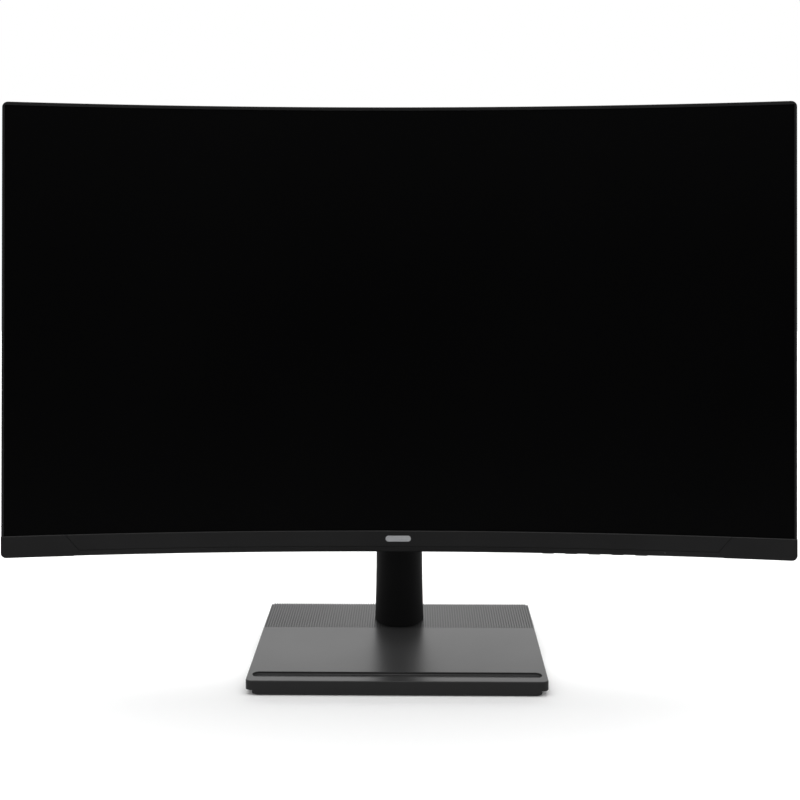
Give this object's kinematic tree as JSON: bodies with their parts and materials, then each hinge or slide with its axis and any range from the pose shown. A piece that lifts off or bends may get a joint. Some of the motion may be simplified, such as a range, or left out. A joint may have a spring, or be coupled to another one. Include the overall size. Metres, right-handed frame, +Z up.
{
  "type": "computer monitor",
  "caption": "Wide curved desktop screen with a slim chin, tilting on a slim oval neck over a flat ribbed slab base.",
  "frame": {"origin": "centre of the bounding box's bottom, on the surface that the base stands on", "axes": "+Z up, +X to the viewer's right along the screen's width, +Y from the viewer towards the back"},
  "size_m": [0.609, 0.18, 0.4394],
  "materials": {
    "front_plastic": "fine-textured black moulding",
    "badge": "satin inlay",
    "light_pipe": "clear smoked pin",
    "key_plastic": "satin black moulding",
    "circuit_board": "green solder resist",
    "screen_glass": "anti-glare coated, switched off",
    "optical_film": "frosted film",
    "light_guide": "clear acrylic",
    "reflector_film": "white film",
    "inner_plastic": "black moulding",
    "steel_sheet": "zinc-coated sheet",
    "diode": "phosphor-filled package",
    "heat_sink": "extruded, plain",
    "port_shell": "nickel-plated shell",
    "contact_metal": "plated blade",
    "flat_cable": "flat film cable",
    "screw_steel": "zinc-plated",
    "cover_plastic": "textured black moulding",
    "washer": "spring steel",
    "neck_plastic": "satin black moulding",
    "base_plastic": "satin black moulding",
    "rubber": "soft pad"
  },
  "bodies": {
    "stand": {"hinge_barrel": "screw_steel", "hinge_shaft": "screw_steel", "friction_washers": "washer", "disc_springs": "washer", "hinge_nuts": "screw_steel", "neck_front": "neck_plastic", "neck_rear": "neck_plastic", "neck_core": "steel_sheet", "neck_screws": "screw_steel", "base_cover": "base_plastic", "base_plate": "steel_sheet", "base_pan": "base_plastic", "plate_screws": "screw_steel", "base_bolt": "screw_steel", "rubber_feet": "rubber"},
    "head": {"bezel_frame": "front_plastic", "chin": "front_plastic", "badge": "badge", "power_light": "light_pipe", "key_board": "circuit_board", "lcd_panel": "screen_glass", "prism_sheet": "optical_film", "diffuser_sheet": "optical_film", "light_guide": "light_guide", "reflector_sheet": "reflector_film", "mould_frame": "inner_plastic", "backlight_tray": "steel_sheet", "light_bar": "circuit_board", "backlight_diodes": "diode", "chassis": "steel_sheet", "main_board": "circuit_board", "power_board": "circuit_board", "transformer": "inner_plastic", "bulk_capacitor": "inner_plastic", "heat_sink": "heat_sink", "hdmi_port": "port_shell", "displayport": "port_shell", "audio_jack": "inner_plastic", "port_plate": "steel_sheet", "board_shield": "steel_sheet", "ac_inlet": "inner_plastic", "inlet_pins": "contact_metal", "timing_board": "circuit_board", "panel_cable": "flat_cable", "backlight_cable": "flat_cable", "key_cable": "flat_cable", "board_screws": "screw_steel", "rear_cover": "cover_plastic", "cover_screws": "screw_steel", "hinge_plate": "steel_sheet", "hinge_screws": "screw_steel"},
    "key_menu": {"key_menu": "key_plastic"},
    "key_down": {"key_down": "key_plastic"},
    "key_up": {"key_up": "key_plastic"},
    "key_source": {"key_source": "key_plastic"},
    "key_power": {"key_power": "key_plastic"}
  },
  "joints": [
    {"name": "tilt", "type": "hinge", "parent": "stand", "child": "head", "pos_m": [0, 0.05504, 0.23702], "axis": [-1, 0, 0], "range_deg": [-8, 16]},
    {"name": "key_menu_press", "type": "slide", "parent": "head", "child": "key_menu", "axis": [0, 0.0872, 0.9962], "range_m": [0, 0.0008], "stiffness_N_per_m": 1200, "springref_m": -0.0006},
    {"name": "key_down_press", "type": "slide", "parent": "head", "child": "key_down", "axis": [0, 0.0872, 0.9962], "range_m": [0, 0.0008], "stiffness_N_per_m": 1200, "springref_m": -0.0006},
    {"name": "key_up_press", "type": "slide", "parent": "head", "child": "key_up", "axis": [0, 0.0872, 0.9962], "range_m": [0, 0.0008], "stiffness_N_per_m": 1200, "springref_m": -0.0006},
    {"name": "key_source_press", "type": "slide", "parent": "head", "child": "key_source", "axis": [0, 0.0872, 0.9962], "range_m": [0, 0.0008], "stiffness_N_per_m": 1200, "springref_m": -0.0006},
    {"name": "key_power_press", "type": "slide", "parent": "head", "child": "key_power", "axis": [0, 0.0872, 0.9962], "range_m": [0, 0.0008], "stiffness_N_per_m": 1200, "springref_m": -0.0006}
  ]
}
